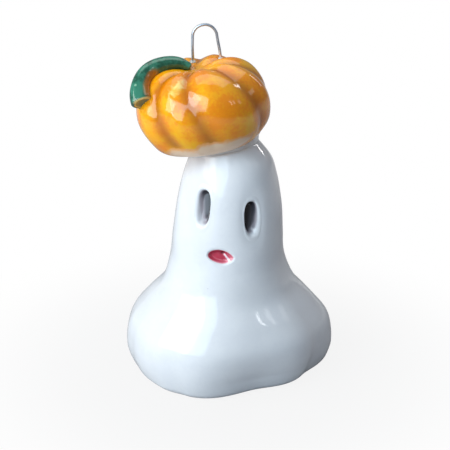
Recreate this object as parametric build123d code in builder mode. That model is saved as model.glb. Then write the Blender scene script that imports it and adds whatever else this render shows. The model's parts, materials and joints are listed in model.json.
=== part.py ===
from build123d import *
import math
import os

# A hollow ceramic ghost that wears a pumpkin on its head and hangs from a wire loop.
# It stands on its hem at z = 0 and faces -Y. Lengths are in millimetres, angles in degrees.
# Angles round the figure count from +X towards +Y, so its face is near 270.

# Ghost: rows of height, mean radius and sideways shift, from the floor to above the slanted cut
ghost_profile = (
    (0.0, 24.8, 0.0),
    (5.0, 26.8, 0.0),
    (10.5, 27.9, 0.0),
    (16.0, 27.4, 0.0),
    (21.5, 24.0, 0.0),
    (27.5, 19.5, 0.0),
    (35.0, 17.0, -0.2),
    (44.5, 15.9, -0.2),
    (54.0, 14.8, 0.2),
    (61.5, 13.3, 0.5),
    (66.5, 11.8, 0.5),
    (70.5, 10.0, -0.6),
    (74.5, 7.4, -1.6),
)
# Crests and valleys of the wavy hem: angle, and how far it stands out from the mean radius
hem_folds = (
    (9.0, 4.6),
    (17.0, 4.0),
    (34.0, 5.4),
    (66.0, -1.0),
    (94.0, -1.6),
    (122.0, -0.8),
    (150.0, 5.2),
    (180.0, 3.0),
    (198.0, 1.8),
    (222.0, 1.2),
    (240.0, 0.2),
    (292.0, -5.0),
    (333.0, -0.9),
)
fold_low = 6.0
fold_top = 41.0
fold_fade = 1.6
wall = 4.5
hem_lip = 2.6
hem_foot = 2.8
outline_points = 36

# Face: two upright oval sockets and a leaf-shaped mouth, each with a coat of coloured glaze inside
eye_width = 4.7
eye_height = 10.8
left_eye_angle = 237.2
left_eye_height = 55.8
right_eye_angle = 295.5
right_eye_height = 53.3
mouth_angle = 264.0
mouth_height = 42.2
mouth_depth = 2.4
mouth_draft = 14.0
mouth_left = (-3.3, 0.8)
mouth_top = (-0.6, 1.9)
mouth_right = (3.3, 0.9)
mouth_heel = (3.0, -1.2)
mouth_bottom = (0.4, -1.9)
glaze_film = 0.6
glaze_rim = 0.6

# Top of the head: cut off on a slant, pierced by a vent and topped with a ring of slip.
# The rows of the ghost end head_slack above the cut.
seat_height = 70.6
seat_tilt = 8.5
head_slack = 3.9
crown_wall = 8.0
vent_radius = 3.0
collar_height = 1.8
collar_bulge = 0.5

# Pumpkin: uneven ribs between the groove angles, a flat underside and a blind drying hole
pumpkin_offset = -4.2
pumpkin_radius = 19.3
pumpkin_rise = 12.0
pumpkin_centre = 9.9
groove_angles = (3.0, 50.0, 95.0, 139.0, 185.0, 230.0, 266.0, 323.0)
groove_depth = 1.0
core_radius = 6.0
core_rise = 18.2
base_radius = 12.5
base_rise = 9.0
hollow_radius = 5.0
hollow_rise = 11.0

# Stem: a tapered roll that bends over one rib, through three places on the pumpkin's own axes
stem_root = (-1.6, 0.0, 21.2)
stem_crest = (-9.6, -0.3, 23.0)
stem_tip = (-15.5, -9.6, 16.2)
stem_root_radius = 2.0
stem_tip_radius = 2.8
stem_edge = 0.8

# Hanger: a wire loop with both legs fired into the clay, their feet turned outward
wire_radius = 0.4
loop_radius = 3.4
loop_rise = 13.5
loop_shift = 1.9
loop_depth = 5.0
leg_splay = 10.0
leg_bury = 3.5
foot_bend = 1.2
foot_length = 1.0
bead_radius = 1.2


def fold_swell(angle):
    """How far the hem stands out at an angle, easing from each crest or valley to the next."""
    first = hem_folds[0][0]
    rows = hem_folds + ((first + 360, hem_folds[0][1]),)
    turned = (angle - first) % 360 + first
    for (start, low), (end, high) in zip(rows, rows[1:]):
        if start <= turned <= end:
            share = (1 - math.cos(math.pi * (turned - start) / (end - start))) / 2
            return low + (high - low) * share
    return hem_folds[0][1]


def ring_angles():
    """Evenly spaced angles for the points of one outline."""
    return [360 * step / outline_points for step in range(outline_points)]


def ghost_rows():
    """Rows of the ghost, stretched to end above the slanted cut."""
    stretch = (seat_height + head_slack) / ghost_profile[-1][0]
    return [(height * stretch, radius, shift) for height, radius, shift in ghost_profile]


def profile_row(height):
    """Mean radius and sideways shift of the outer form at a height."""
    rows = ghost_rows()
    for (low, wide, left), (high, slim, right) in zip(rows, rows[1:]):
        if low <= height <= high:
            share = (height - low) / (high - low)
            return wide + (slim - wide) * share, left + (right - left) * share
    return rows[-1][1:]


def hem_centre():
    """Middle of the box round the hem, measured from the centre of its folds."""
    radius = max(row[1] for row in ghost_profile)
    points = [(radius + fold_swell(angle), math.radians(angle)) for angle in ring_angles()]
    across = [reach * math.cos(turn) for reach, turn in points]
    deep = [reach * math.sin(turn) for reach, turn in points]
    return (max(across) + min(across)) / 2, (max(deep) + min(deep)) / 2


def ghost_axis(height):
    """Centre of the ghost's outline at a height."""
    across, deep = hem_centre()
    return profile_row(height)[1] - across, -deep


def ghost_outline(height, radius):
    """Points round the ghost at a height. The folds die out towards the head."""
    fade = min(1, max(0, (fold_top - height) / (fold_top - fold_low))) ** fold_fade
    across, deep = ghost_axis(height)
    points = []
    for angle in ring_angles():
        reach = radius + fold_swell(angle) * fade
        turn = math.radians(angle)
        points.append((across + reach * math.cos(turn), deep + reach * math.sin(turn)))
    return points


def oval_points(centre, out, up, start):
    """Points along an oval from a start angle up to its top."""
    out_centre, up_centre = centre
    steps = 12
    points = []
    for step in range(steps + 1):
        turn = math.radians(start + (90 - start) * step / steps)
        points.append((out_centre + out * math.cos(turn), up_centre + up * math.sin(turn)))
    return points


def way_out(part, start, direction):
    """Farthest point where a ray leaves a part, with the outward normal there."""
    ray = Axis(start, direction)
    hits = [hit for face in part.faces() for hit in face.find_intersection_points(ray)]
    return max(hits, key=lambda hit: (hit[0] - ray.position).dot(ray.direction))


def face_plane(angle, height):
    """Plane on the ghost's outside: x to the viewer's right, y upward, z outward."""
    across, deep = ghost_axis(height)
    turn = math.radians(angle)
    start = Vector(across, deep, height)
    point, normal = way_out(ghost_form.part, start, (math.cos(turn), math.sin(turn), 0))
    return Plane(point, x_dir=Vector(0, 0, 1).cross(normal), z_dir=normal)


def rib_plane(angle):
    """Upright plane through the pumpkin's axis: x outward, y along the axis."""
    turn = math.radians(angle)
    outward = pumpkin_plane.x_dir * math.cos(turn) + pumpkin_plane.y_dir * math.sin(turn)
    return Plane(pumpkin_plane.origin, x_dir=outward, z_dir=outward.cross(pumpkin_plane.z_dir))


# Outer form of the ghost, with the hem rounded under
with BuildPart() as ghost_form:
    for height, radius, _ in ghost_rows():
        with BuildSketch(Plane.XY.offset(height)):
            with BuildLine():
                Spline(*ghost_outline(height, radius), periodic=True)
            make_face()
    loft()
    fillet(ghost_form.edges().group_by(Axis.Z)[0], hem_lip)

# Slanted planes on top of the head: under the slip collar and under the pumpkin
slant = math.radians(seat_tilt)
seat_plane = Plane(
    (*ghost_axis(seat_height), seat_height),
    x_dir=(math.cos(slant), 0, math.sin(slant)),
    z_dir=(-math.sin(slant), 0, math.cos(slant)),
)
seat_right = way_out(ghost_form.part, seat_plane.origin, seat_plane.x_dir)[0]
seat_left = way_out(ghost_form.part, seat_plane.origin, -seat_plane.x_dir)[0]
seat_radius = (seat_right - seat_left).length / 2
seat_plane.origin = (seat_right + seat_left) * 0.5
pumpkin_plane = seat_plane.offset(collar_height)
pumpkin_plane.origin = pumpkin_plane.origin + pumpkin_plane.x_dir * pumpkin_offset

# Sockets that are pressed into the face
sockets = []
eye_planes = []
for angle, height in ((left_eye_angle, left_eye_height), (right_eye_angle, right_eye_height)):
    plane = face_plane(angle, height)
    with BuildPart() as eye_socket:
        with BuildSketch(plane):
            with BuildLine():
                EllipticalCenterArc((0, 0), eye_width / 2, eye_height / 2, -90, arc_size=180)
                Line((0, eye_height / 2), (0, -eye_height / 2))
            make_face()
        revolve(axis=Axis(plane.origin, plane.y_dir))
    sockets.append(eye_socket.part)
    eye_planes.append(plane)

mouth_plane = face_plane(mouth_angle, mouth_height)
with BuildPart() as mouth_socket:
    with BuildSketch(mouth_plane.offset(-mouth_depth)):
        with BuildLine():
            ThreePointArc(mouth_left, mouth_top, mouth_right)
            Line(mouth_right, mouth_heel)
            ThreePointArc(mouth_heel, mouth_bottom, mouth_left)
        make_face()
    extrude(amount=mouth_depth + wall, taper=-mouth_draft)

# Ghost body: the outer form cut on a slant, hollowed from below and pierced by the vent
hollow_top = seat_height - crown_wall
with BuildPart() as ghost_body:
    add(ghost_form.part)
    split(bisect_by=seat_plane, keep=Keep.BOTTOM)
    inner_rows = [row for row in ghost_rows() if hem_lip < row[0] < hollow_top]
    with BuildSketch(Plane.XY):
        with BuildLine():
            Spline(*ghost_outline(0, ghost_profile[0][1] - hem_lip - hem_foot), periodic=True)
        make_face()
    for height, radius, _ in inner_rows:
        with BuildSketch(Plane.XY.offset(height)):
            with BuildLine():
                Spline(*ghost_outline(height, radius - wall), periodic=True)
            make_face()
    with BuildSketch(Plane.XY.offset(hollow_top)):
        with BuildLine():
            Spline(*ghost_outline(hollow_top, profile_row(hollow_top)[0] - wall), periodic=True)
        make_face()
    loft(mode=Mode.SUBTRACT)
    with BuildSketch(seat_plane):
        Circle(vent_radius)
    extrude(amount=-crown_wall - wall, mode=Mode.SUBTRACT)
    add(sockets, mode=Mode.SUBTRACT)
    add(mouth_socket.part, mode=Mode.SUBTRACT)

# Coats of glaze on the floors of the sockets
eye_glazes = []
for socket, plane in zip(sockets, eye_planes):
    with BuildPart() as eye_glaze:
        add(socket)
        add(socket.moved(Location(plane.z_dir * glaze_film)), mode=Mode.SUBTRACT)
        split(bisect_by=plane.offset(-glaze_rim), keep=Keep.BOTTOM)
    eye_glazes.append(eye_glaze.part)

with BuildPart() as mouth_glaze:
    add(mouth_socket.part)
    split(bisect_by=mouth_plane.offset(glaze_film - mouth_depth), keep=Keep.BOTTOM)

# Slip collar: the ring of clay that joins the head and the pumpkin
with BuildPart() as slip_collar:
    with BuildSketch(Plane(seat_plane.origin, x_dir=seat_plane.x_dir, z_dir=-seat_plane.y_dir)):
        with BuildLine():
            Polyline(
                (seat_radius, 0),
                (vent_radius, 0),
                (vent_radius, collar_height),
                (seat_radius, collar_height),
            )
            ThreePointArc(
                (seat_radius, collar_height),
                (seat_radius + collar_bulge, collar_height / 2),
                (seat_radius, 0),
            )
        make_face()
    revolve(axis=Axis(seat_plane.origin, seat_plane.z_dir))

# Pumpkin form: one spheroid for each rib, fused round a core and cut flat below
groove_radius = pumpkin_radius - groove_depth
with BuildPart() as pumpkin_form:
    for start, end in zip(groove_angles, groove_angles[1:] + (groove_angles[0] + 360,)):
        half_width = math.radians(end - start) / 2
        spread = pumpkin_radius**2 - groove_radius**2
        reach = spread / (2 * (pumpkin_radius - groove_radius * math.cos(half_width)))
        plane = rib_plane((start + end) / 2)
        with BuildSketch(plane):
            with BuildLine():
                rib = oval_points((reach, pumpkin_centre), pumpkin_radius - reach, pumpkin_rise, -90)
                Spline(*rib)
                Line((reach, pumpkin_centre + pumpkin_rise), (reach, pumpkin_centre - pumpkin_rise))
            make_face()
        revolve(axis=Axis(plane.from_local_coords((reach, 0, 0)), plane.y_dir))
    with BuildSketch(rib_plane(0)):
        with BuildLine():
            Polyline(
                (0, 0),
                (base_radius, 0),
                (core_radius, base_rise),
                (core_radius, core_rise),
                (0, core_rise),
                close=True,
            )
        make_face()
    revolve(axis=Axis(pumpkin_plane.origin, pumpkin_plane.z_dir))
    split(bisect_by=pumpkin_plane, keep=Keep.TOP)

# Path of the hanger, in an upright plane through the top of the pumpkin
loop_top = pumpkin_plane.from_local_coords((0, 0, core_rise))
wire_plane = Plane(loop_top + Vector(loop_shift, loop_depth, 0), x_dir=(1, 0, 0), z_dir=(0, -1, 0))
arch_height = loop_rise - loop_radius
with BuildLine(wire_plane) as wire_path:
    left_foot = Line(
        (-loop_radius - foot_bend - foot_length, -leg_bury),
        (-loop_radius - foot_bend, -leg_bury),
    )
    left_bend = JernArc(left_foot @ 1, left_foot % 1, foot_bend, 90)
    left_leg = Line(left_bend @ 1, (-loop_radius, arch_height))
    arch = JernArc(left_leg @ 1, left_leg % 1, loop_radius, leg_splay - 180)
    right_leg = PolarLine(arch @ 1, leg_bury + arch_height, direction=arch % 1)
    right_bend = JernArc(right_leg @ 1, right_leg % 1, foot_bend, 90 - leg_splay)
    right_foot = Line(right_bend @ 1, right_bend @ 1 + (right_bend % 1) * foot_length)

hanger_path = wire_path.wire()
with BuildPart() as hanger_wire:
    with BuildSketch(Plane(hanger_path @ 0, z_dir=hanger_path % 0)):
        Circle(wire_radius)
    sweep(path=hanger_path)

# Pumpkin: with a drying hole pressed in from below, and fired round the legs of the wire
with BuildPart() as pumpkin:
    add(pumpkin_form.part)
    with BuildSketch(rib_plane(0)):
        with BuildLine():
            Spline(*oval_points((0, 0), hollow_radius, hollow_rise, 0))
            Polyline((0, hollow_rise), (0, 0), (hollow_radius, 0))
        make_face()
    revolve(axis=Axis(pumpkin_plane.origin, pumpkin_plane.z_dir), mode=Mode.SUBTRACT)
    add(hanger_wire.part, mode=Mode.SUBTRACT)

# Stem: pressed down over the rib and cut clear of the wire
with BuildPart() as stem:
    with BuildLine(pumpkin_plane) as stem_path:
        ThreePointArc(stem_root, stem_crest, stem_tip)
    roll = stem_path.wire()
    for share, radius in ((0, stem_root_radius), (1, stem_tip_radius)):
        with BuildSketch(Plane(roll @ share, z_dir=roll % share)):
            Circle(radius)
    sweep(path=roll, multisection=True)
    fillet(stem.faces().sort_by_distance(roll @ 1)[0].edges(), stem_edge)
    add(pumpkin_form.part, mode=Mode.SUBTRACT)
    add(hanger_wire.part, mode=Mode.SUBTRACT)

# Beads of glaze where the legs leave the clay
with BuildPart() as wire_glaze_beads:
    for low, high in ((left_leg @ 0, left_leg @ 1), (right_leg @ 1, right_leg @ 0)):
        with Locations(way_out(pumpkin_form.part, low, high - low)[0]):
            Sphere(bead_radius)
    add(pumpkin_form.part, mode=Mode.SUBTRACT)
    add(stem.part, mode=Mode.SUBTRACT)
    add(hanger_wire.part, mode=Mode.SUBTRACT)

os.makedirs("parts", exist_ok=True)

ghost_body.part.label = "ghost_body"
export_step(ghost_body.part, "parts/ghost_body.step")
eye_glazes[0].label = "eye_glaze_left"
export_step(eye_glazes[0], "parts/eye_glaze_left.step")
eye_glazes[1].label = "eye_glaze_right"
export_step(eye_glazes[1], "parts/eye_glaze_right.step")
mouth_glaze.part.label = "mouth_glaze"
export_step(mouth_glaze.part, "parts/mouth_glaze.step")
slip_collar.part.label = "slip_collar"
export_step(slip_collar.part, "parts/slip_collar.step")
pumpkin.part.label = "pumpkin"
export_step(pumpkin.part, "parts/pumpkin.step")
stem.part.label = "stem"
export_step(stem.part, "parts/stem.step")
hanger_wire.part.label = "hanger_wire"
export_step(hanger_wire.part, "parts/hanger_wire.step")
wire_glaze_beads.part.label = "wire_glaze_beads"
export_step(wire_glaze_beads.part, "parts/wire_glaze_beads.step")
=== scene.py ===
"""Glazed ceramic ghost with a pumpkin on its head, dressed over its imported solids.

Lengths in the classes are millimetres and become metres when a mesh is made. Angles are degrees and
count from +X towards +Y, so the face is near 270.
"""

import json
import logging
import math
from abc import ABC, abstractmethod
from collections.abc import Iterable
from dataclasses import dataclass
from enum import Enum
from functools import cache
from typing import Any

import bpy
import numpy as np
from bpy.types import Material, Mesh, NodeSocket, NodeTree, Object
from mathutils import Matrix, Vector
from mathutils.bvhtree import BVHTree


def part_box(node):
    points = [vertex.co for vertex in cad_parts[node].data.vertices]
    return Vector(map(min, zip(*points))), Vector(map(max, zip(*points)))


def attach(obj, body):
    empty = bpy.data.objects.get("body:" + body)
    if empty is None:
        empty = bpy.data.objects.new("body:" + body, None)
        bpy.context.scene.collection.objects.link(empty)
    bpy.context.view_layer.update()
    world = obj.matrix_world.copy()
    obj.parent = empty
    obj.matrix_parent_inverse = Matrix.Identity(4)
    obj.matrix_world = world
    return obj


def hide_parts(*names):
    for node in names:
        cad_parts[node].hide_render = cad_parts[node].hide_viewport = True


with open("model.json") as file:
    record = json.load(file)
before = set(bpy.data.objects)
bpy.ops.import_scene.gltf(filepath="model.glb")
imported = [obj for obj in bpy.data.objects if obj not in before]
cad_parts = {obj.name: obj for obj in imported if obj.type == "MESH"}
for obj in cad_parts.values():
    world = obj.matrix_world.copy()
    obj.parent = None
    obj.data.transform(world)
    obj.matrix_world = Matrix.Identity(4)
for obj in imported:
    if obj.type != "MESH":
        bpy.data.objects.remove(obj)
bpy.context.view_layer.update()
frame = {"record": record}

log = logging.getLogger("ghost")

MM = 0.001
BODY = "root"

Array = np.ndarray
Colour = tuple[float, float, float]
Face = tuple[int, ...]
Lean = tuple[float, float, float]
Names = tuple[str, ...]
Place = tuple[float, float, float]
Span = tuple[float, float]
Wave = tuple[float, Any, float]


class Node(Enum):
    """The CAD nodes that the pieces stand for."""

    GHOST = "ghost_body"
    EYE_LEFT = "eye_glaze_left"
    EYE_RIGHT = "eye_glaze_right"
    MOUTH = "mouth_glaze"
    COLLAR = "slip_collar"
    PUMPKIN = "pumpkin"
    STEM = "stem"
    WIRE = "hanger_wire"
    BEADS = "wire_glaze_beads"


class Slot(Enum):
    """The record's material slots."""

    WHITE = "white_glaze"
    EYE = "eye_glaze"
    MOUTH = "mouth_glaze"
    SLIP = "slip"
    ORANGE = "orange_glaze"
    GREEN = "green_glaze"
    WIRE = "kiln_wire"
    BEAD = "bead_glaze"


class Mark(Enum):
    """Values that a mesh carries on its points for its finish to read."""

    BARE = "bare_clay"
    # Pooled underglaze in the face's sockets, with painted highlights taken out.
    STAIN_AND_HIGHLIGHT = "stain"
    GROOVE = "groove"
    CREEP = "white_creep"
    THIN = "thin_glaze"
    # Inner flank of the stem: thin glaze with painted shade and orange reflection.
    FLANK = "thin_flank"
    CUT = "cut_end"


class TreeKind(Enum):
    """Kinds of node group."""

    SHADER = "ShaderNodeTree"
    GEOMETRY = "GeometryNodeTree"


# Small tools


def smooth_step(low: float, high: float, value: Array) -> Array:
    """Ease from 0 to 1 as a value goes from low to high.

    Args:
        low: Value where the result is 0.
        high: Value where the result is 1.
        value: Numbers to ease.

    Returns:
        The eased numbers.
    """
    share = np.clip((value - low) / (high - low), 0.0, 1.0)
    return share * share * (3.0 - 2.0 * share)


def smooth_curve(at: Array, knots: Array, values: Array) -> Array:
    """Read a smooth curve that passes through values at knots.

    Args:
        at: Places to read.
        knots: Rising places of the known values.
        values: Known values.

    Returns:
        The curve's values at the places.
    """
    slopes = np.gradient(values, knots)
    low = np.clip(np.searchsorted(knots, at) - 1, 0, len(knots) - 2)
    gap = knots[low + 1] - knots[low]
    share = (at - knots[low]) / gap
    rest = 1.0 - share
    return (
        values[low] * (1.0 + 2.0 * share) * rest**2
        + values[low + 1] * (3.0 - 2.0 * share) * share**2
        + slopes[low] * gap * share * rest**2
        - slopes[low + 1] * gap * rest * share**2
    )


def waves(turn: Array, rows: Iterable[Wave]) -> Array:
    """Sum of waves round a ring, from the count, phase and weight of each."""
    return sum(weight * np.sin(count * turn + phase) for count, phase, weight in rows)


def full_turn(columns: int) -> Array:
    """Even angles round a ring, in radians."""
    return np.linspace(0.0, 2.0 * np.pi, columns, endpoint=False)


def ring(turn: Array, radius: Array | float, height: Array | float = 0.0) -> Array:
    """Points round an upright axis, at angles in radians."""
    parts = np.broadcast_arrays(radius * np.cos(turn), radius * np.sin(turn), height)
    return np.stack(parts, axis=-1)


def ring_quads(rings: int, columns: int, closed: bool) -> list[Face]:
    """List the quads between rings of points.

    Args:
        rings: Number of rings.
        columns: Points in a ring.
        closed: Whether the last ring joins the first.

    Returns:
        Point numbers of each quad.
    """
    quads = []
    for row in range(rings if closed else rings - 1):
        here = row * columns
        there = (row + 1) % rings * columns
        for column in range(columns):
            after = (column + 1) % columns
            quads.append((here + column, here + after, there + after, there + column))
    return quads


def fan(pole: int, first: int, columns: int) -> list[Face]:
    """Triangles that close a ring onto a pole, from the number of the ring's first point."""
    return [(pole, first + column, first + (column + 1) % columns) for column in range(columns)]


def flipped(faces: list[Face], shift: int = 0) -> list[Face]:
    """Faces turned over, with their point numbers shifted."""
    return [tuple(shift + point for point in reversed(face)) for face in faces]


def full(colour: Colour) -> tuple[float, float, float, float]:
    """A colour with full opacity."""
    return (*colour, 1.0)


@dataclass(frozen=True)
class LocalFrame:
    """A place with three axes, in millimetres of the shared frame."""

    origin: Array
    right: Array
    up: Array
    out: Array

    def axes(self) -> Array:
        """The three axes as rows."""
        return np.stack([self.right, self.up, self.out])

    def to_world(self, points: Array) -> Array:
        """Points given along right, up and out, in the shared frame."""
        return self.origin + points @ self.axes()

    def to_local(self, points: Array) -> Array:
        """Points of the shared frame, measured along right, up and out."""
        return (points - self.origin) @ self.axes().T

    def matrix(self) -> Matrix:
        """Matrix in metres that carries a mesh from this frame to the shared one."""
        turn = Matrix(self.axes().T.tolist()).to_4x4()
        return Matrix.Translation(Vector(self.origin * MM)) @ turn


class Piece:
    """Makes the finished objects of the ghost and ties them to the frame."""

    @staticmethod
    def mesh(name: str, points: Array, faces: list[Face]) -> Mesh:
        """Make a smooth mesh.

        Args:
            name: Name of the mesh.
            points: Places in millimetres.
            faces: Point numbers of each face.

        Returns:
            The mesh, in metres.
        """
        mesh = bpy.data.meshes.new(name)
        mesh.from_pydata((points.reshape(-1, 3) * MM).tolist(), [], faces)
        mesh.shade_smooth()
        mesh.update()
        return mesh

    @staticmethod
    def mark(mesh: Mesh, mark: Mark, values: Array) -> None:
        """Write one value on each point of a mesh."""
        layer = mesh.attributes.new(mark.value, "FLOAT", "POINT")
        layer.data.foreach_set("value", np.asarray(values, np.float32).ravel())

    @staticmethod
    def finish(name: str, mesh: Mesh, material: Material, node: Node, slot: Slot) -> Object:
        """Put a mesh into the scene in place of a CAD node.

        Args:
            name: Name of the piece.
            mesh: Its mesh, already in place.
            material: Its finish.
            node: The CAD node that it stands for.
            slot: The record's material slot; not used.

        Returns:
            The new object.
        """
        mesh.materials.clear()
        mesh.materials.append(material)
        piece = bpy.data.objects.new(name, mesh)
        bpy.context.scene.collection.objects.link(piece)
        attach(piece, BODY)
        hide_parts(node.value)
        log.info("%s: %d points", name, len(mesh.vertices))
        return piece


# Node trees


class Graph:
    """A node tree that is written one node at a time."""

    def __init__(self, tree: NodeTree) -> None:
        """Write into a tree."""
        self.tree = tree

    @classmethod
    def begin(
        cls, kind: TreeKind, name: str, inputs: dict[str, str], outputs: dict[str, str]
    ) -> tuple["Graph", Any, Any]:
        """Start a node group.

        Args:
            kind: Kind of the group.
            name: Name of the group.
            inputs: Kind of each named input.
            outputs: Kind of each named output.

        Returns:
            The group's graph, the inputs to read from and the outputs to feed.
        """
        tree = bpy.data.node_groups.new(name, kind.value)
        for way, sockets in (("INPUT", inputs), ("OUTPUT", outputs)):
            for socket, sort in sockets.items():
                tree.interface.new_socket(socket, in_out=way, socket_type=f"NodeSocket{sort}")
        graph = cls(tree)
        given = graph.node("NodeGroupInput").outputs
        return graph, given, graph.node("NodeGroupOutput").inputs

    def feed(self, socket: NodeSocket, value: Any) -> None:
        """Link another socket to this one, or set its own value.

        Args:
            socket: Input to feed.
            value: Output of another node, or a plain value.
        """
        if isinstance(value, NodeSocket):
            self.tree.links.new(value, socket)
        else:
            socket.default_value = value

    def node(
        self, kind: str, feeds: dict[Any, Any] | None = None, **settings: Any
    ) -> bpy.types.Node:
        """Add a node.

        Args:
            kind: Blender's name of the node type.
            feeds: Values or sockets by the name or number of the input.
            **settings: Other properties of the node.

        Returns:
            The node.
        """
        made = self.tree.nodes.new(kind)
        for key, value in settings.items():
            setattr(made, key, value)
        for key, value in (feeds or {}).items():
            self.feed(made.inputs[key], value)
        return made

    def group(self, tree: NodeTree, feeds: dict[str, Any]) -> Any:
        """Place a node group with its own values and return its outputs."""
        kind = tree.bl_idname.replace("NodeTree", "NodeGroup")
        return self.node(kind, feeds, node_tree=tree).outputs

    def math(self, operation: str, *values: Any) -> NodeSocket:
        """Add a Math node and return its result."""
        return self.node("ShaderNodeMath", dict(enumerate(values)), operation=operation).outputs[0]

    def hypot(self, first: Any, second: Any) -> NodeSocket:
        """Root of the sum of two squares."""
        square = self.math("MULTIPLY_ADD", first, first, self.math("MULTIPLY", second, second))
        return self.math("SQRT", square)

    def scaled(self, vector: Any, size: Any) -> NodeSocket:
        """A vector times a number."""
        feeds = {0: vector, "Scale": size}
        return self.node("ShaderNodeVectorMath", feeds, operation="SCALE").outputs[0]

    def parts(self, vector: Any) -> tuple[NodeSocket, ...]:
        """The three parts of a vector."""
        return tuple(self.node("ShaderNodeSeparateXYZ", {0: vector}).outputs)

    def noise(
        self, place: Any, scale: Any, detail: float, more: dict[str, float] | None = None
    ) -> NodeSocket:
        """Add a Noise Texture and return its value, from about 0.3 to 0.7."""
        feeds = {"Vector": place, "Scale": scale, "Detail": detail} | (more or {})
        return self.node("ShaderNodeTexNoise", feeds).outputs[0]

    def ease(
        self, value: Any, low: float, high: float, start: float = 0.0, end: float = 1.0
    ) -> NodeSocket:
        """Ease a value.

        Args:
            value: Number to ease.
            low: Value where the easing starts.
            high: Value where it ends.
            start: Result at low.
            end: Result at high.

        Returns:
            The eased number.
        """
        feeds = {"Value": value, "From Min": low, "From Max": high, "To Min": start, "To Max": end}
        made = self.node("ShaderNodeMapRange", feeds, interpolation_type="SMOOTHSTEP")
        return made.outputs["Result"]

    def blend(self, factor: Any, first: Any, second: Any) -> NodeSocket:
        """Mix two colours and return the result."""
        feeds = {0: factor, 6: first, 7: second}
        return self.node("ShaderNodeMix", feeds, data_type="RGBA").outputs[2]

    def mark(self, mark: Mark) -> NodeSocket:
        """A value that the mesh carries on its points."""
        return self.node("ShaderNodeAttribute", attribute_name=mark.value).outputs["Fac"]


class ShapeTree:
    """A Geometry Nodes tree with named inputs, run once and kept as a plain mesh."""

    def __init__(self, name: str, inputs: Names) -> None:
        """Start the tree.

        Args:
            name: Name of the tree.
            inputs: Names of its numbers. It also has an input for the geometry.
        """
        sockets = {"Geometry": "Geometry"} | dict.fromkeys(inputs, "Float")
        begun = Graph.begin(TreeKind.GEOMETRY, name, sockets, {"Geometry": "Geometry"})
        self.graph, self.given, self.sink = begun
        self.place = self.graph.node("GeometryNodeInputPosition").outputs[0]

    def moved(self, geometry: NodeSocket, offset: NodeSocket) -> NodeSocket:
        """The geometry with each point moved by an offset."""
        feeds = {"Geometry": geometry, "Offset": offset}
        return self.graph.node("GeometryNodeSetPosition", feeds).outputs[0]

    def pushed(self, geometry: NodeSocket, push: NodeSocket) -> NodeSocket:
        """The geometry with each point pushed out along its normal."""
        normal = self.graph.node("GeometryNodeInputNormal").outputs[0]
        return self.moved(geometry, self.graph.scaled(normal, push))

    def lumps(self, scale: Any, size: NodeSocket) -> NodeSocket:
        """Uneven pushes of a size, outward and inward alike."""
        noise = self.graph.noise(self.place, scale, 1.0)
        return self.graph.math("MULTIPLY", self.graph.math("SUBTRACT", noise, 0.5), size)

    def close(self, geometry: NodeSocket, material: Material) -> None:
        """End the tree in real geometry that wears a material.

        Args:
            geometry: What the tree has made.
            material: Its finish.
        """
        real = self.graph.node("GeometryNodeRealizeInstances", {"Geometry": geometry})
        feeds = {"Geometry": real.outputs[0], "Material": material}
        dressed = self.graph.node("GeometryNodeSetMaterial", feeds)
        self.graph.feed(self.sink["Geometry"], dressed.outputs[0])

    def run(self, source: bpy.types.ID, values: dict[str, float], name: str) -> Mesh:
        """Run the tree once and keep its result.

        Args:
            source: Mesh or curve that the tree starts from.
            values: Its numbers by name.
            name: Name of the result.

        Returns:
            The plain mesh.
        """
        holder = bpy.data.objects.new(name + "_source", source)
        bpy.context.scene.collection.objects.link(holder)
        modifier = holder.modifiers.new("tree", "NODES")
        modifier.node_group = self.graph.tree
        for item in self.graph.tree.interface.items_tree:
            if item.item_type == "SOCKET" and item.in_out == "INPUT" and item.name in values:
                modifier[item.identifier] = values[item.name]
        found = holder.evaluated_get(bpy.context.evaluated_depsgraph_get())
        made = bpy.data.meshes.new_from_object(found)
        made.name = name
        holder.modifiers.remove(modifier)
        bpy.data.objects.remove(holder)
        made.shade_smooth()
        return made


# Finishes


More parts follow.
